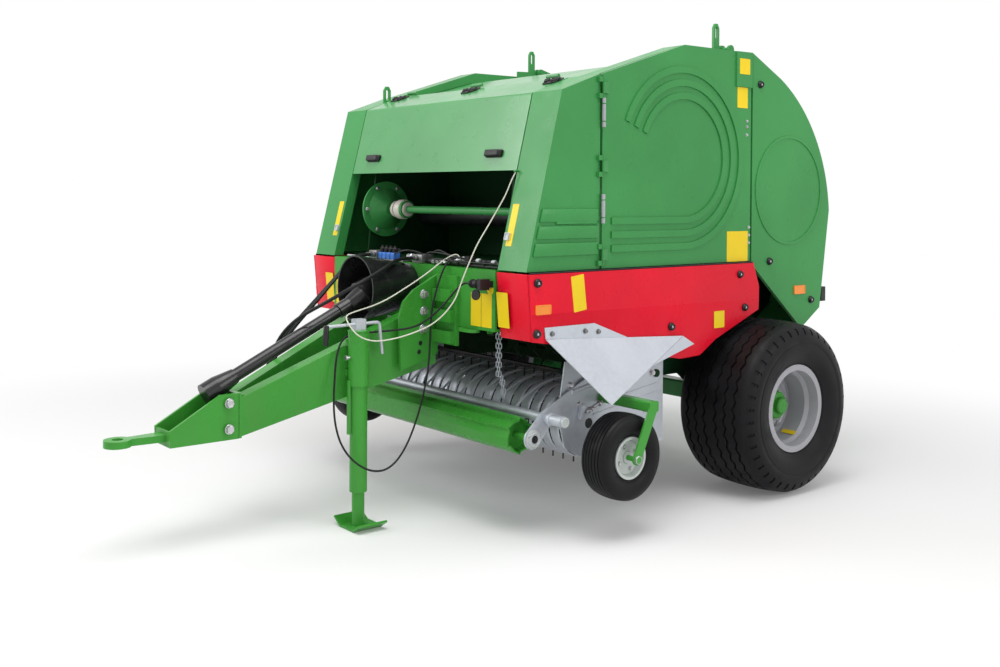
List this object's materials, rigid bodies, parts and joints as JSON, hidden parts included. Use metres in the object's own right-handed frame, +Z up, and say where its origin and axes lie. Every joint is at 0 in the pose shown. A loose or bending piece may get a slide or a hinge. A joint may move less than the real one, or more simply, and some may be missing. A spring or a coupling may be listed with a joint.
{
  "type": "round baler",
  "caption": "Trailed round baler with fixed chamber, raised pickup with tine reel, opening tailgate, side doors, net box hood and parking jack.",
  "frame": {"origin": "on the floor under the middle of the machine", "axes": "+Z up, +Y towards the tailgate, the drawbar points to -Y, X across"},
  "size_m": [2.492, 3.982, 2.579],
  "materials": {
    "green_paint": "gloss paint, mid green",
    "bright_green_paint": "gloss paint, brighter green",
    "red_paint": "gloss paint, signal red",
    "galvanised": "galvanised sheet and tube",
    "roller_steel": "worn steel",
    "tine_steel": "black spring steel",
    "black_plastic": "black moulded plastic",
    "lamp_plastic": "clear red lens",
    "tyre_rubber": "black rubber",
    "silver_rim": "silver wheel paint",
    "zinc_rim": "zinc plated",
    "hose_rubber": "black hose rubber",
    "rope_fibre": "cream cord"
  },
  "bodies": {
    "frame": {"axle": "green_paint", "cross_tubes": "green_paint", "drawbar": "bright_green_paint", "electric_cable": "hose_rubber", "electric_plug": "black_plastic", "front_beam": "green_paint", "front_panels": "green_paint", "front_rollers": "roller_steel", "gearbox": "green_paint", "guard_chains": "galvanised", "hinge_brackets": "green_paint", "hitch": "bright_green_paint", "hose_1": "hose_rubber", "hose_2": "hose_rubber", "hose_3": "hose_rubber", "hose_couplers": "roller_steel", "jack_crank": "roller_steel", "jack_sleeve": "bright_green_paint", "lifting_eyes": "green_paint", "net_box": "green_paint", "pto_bell": "black_plastic", "pto_shaft": "black_plastic", "roof": "green_paint", "rope": "rope_fibre", "shields": "galvanised", "side_roofs": "green_paint", "side_walls": "green_paint", "skirts": "red_paint", "towing_eye": "bright_green_paint", "valve_block": "black_plastic", "wiring_loom": "black_plastic"},
    "wheel_left": {"wheel_left_tyre": "tyre_rubber", "wheel_left_rim": "silver_rim"},
    "wheel_right": {"wheel_right_tyre": "tyre_rubber", "wheel_right_rim": "silver_rim"},
    "gauge_left": {"gauge_left_tyre": "tyre_rubber", "gauge_left_rim": "zinc_rim"},
    "gauge_right": {"gauge_right_tyre": "tyre_rubber", "gauge_right_rim": "zinc_rim"},
    "tailgate": {"tailgate_sides": "green_paint", "tailgate_shell": "green_paint", "tailgate_walls": "green_paint", "tailgate_ears": "green_paint", "tailgate_rollers": "roller_steel", "tail_lamps": "lamp_plastic"},
    "hood": {"hood": "green_paint", "hood_handles": "black_plastic"},
    "door_left": {"door_left": "green_paint"},
    "door_right": {"door_right": "green_paint"},
    "jack_leg": {"jack_leg": "bright_green_paint"},
    "pickup": {"pickup_frame": "galvanised", "pickup_bands": "galvanised", "gauge_arms": "bright_green_paint"},
    "tine_reel": {"tine_reel": "tine_steel"},
    "windguard": {"windguard": "galvanised"},
    "crop_roller": {"crop_roller": "bright_green_paint"},
    "feed_rotor": {"feed_rotor": "roller_steel"},
    "net_spindle": {"net_spindle": "green_paint"},
    "net_roller": {"net_roller": "roller_steel"}
  },
  "joints": [
    {"name": "wheel_left_spin", "type": "hinge", "parent": "frame", "child": "wheel_left", "pos_m": [0.97, 1.359, 0.4675], "axis": [1, 0, 0], "continuous": true},
    {"name": "wheel_right_spin", "type": "hinge", "parent": "frame", "child": "wheel_right", "pos_m": [-0.97, 1.359, 0.4675], "axis": [1, 0, 0], "continuous": true},
    {"name": "tailgate_lift", "type": "hinge", "parent": "frame", "child": "tailgate", "pos_m": [0, 1.209, 2.436], "axis": [1, 0, 0], "range_deg": [0, 75]},
    {"name": "hood_lift", "type": "hinge", "parent": "frame", "child": "hood", "pos_m": [0, 0.074, 2.222], "axis": [-1, 0, 0], "range_deg": [0, 80]},
    {"name": "door_left_swing", "type": "hinge", "parent": "frame", "child": "door_left", "pos_m": [0.972, 0.089, 1.8], "axis": [0, 0, -1], "range_deg": [0, 90]},
    {"name": "door_right_swing", "type": "hinge", "parent": "frame", "child": "door_right", "pos_m": [-0.972, 0.089, 1.8], "axis": [0, 0, 1], "range_deg": [0, 90]},
    {"name": "jack_slide", "type": "slide", "parent": "frame", "child": "jack_leg", "axis": [0, 0, 1], "range_m": [0, 0.2]},
    {"name": "pickup_lower", "type": "hinge", "parent": "frame", "child": "pickup", "pos_m": [0, 0.559, 0.7], "axis": [1, 0, 0], "range_deg": [0, 25]},
    {"name": "tine_reel_spin", "type": "hinge", "parent": "pickup", "child": "tine_reel", "pos_m": [0, 0.079, 0.5], "axis": [1, 0, 0], "continuous": true},
    {"name": "windguard_lift", "type": "hinge", "parent": "pickup", "child": "windguard", "pos_m": [0, 0.109, 0.72], "axis": [-1, 0, 0], "range_deg": [0, 20]},
    {"name": "crop_roller_spin", "type": "hinge", "parent": "windguard", "child": "crop_roller", "pos_m": [0, -0.303, 0.476], "axis": [1, 0, 0], "continuous": true},
    {"name": "gauge_left_spin", "type": "hinge", "parent": "pickup", "child": "gauge_left", "pos_m": [1.13, 0.062, 0.387], "axis": [1, 0, 0], "continuous": true},
    {"name": "gauge_right_spin", "type": "hinge", "parent": "pickup", "child": "gauge_right", "pos_m": [-1.13, 0.062, 0.387], "axis": [1, 0, 0], "continuous": true},
    {"name": "feed_rotor_spin", "type": "hinge", "parent": "frame", "child": "feed_rotor", "pos_m": [0, 0.429, 0.84], "axis": [1, 0, 0], "continuous": true},
    {"name": "net_spindle_spin", "type": "hinge", "parent": "frame", "child": "net_spindle", "pos_m": [0, -0.121, 1.532], "axis": [1, 0, 0], "continuous": true},
    {"name": "net_roller_spin", "type": "hinge", "parent": "frame", "child": "net_roller", "pos_m": [0, 0.159, 1.5], "axis": [1, 0, 0], "continuous": true}
  ]
}
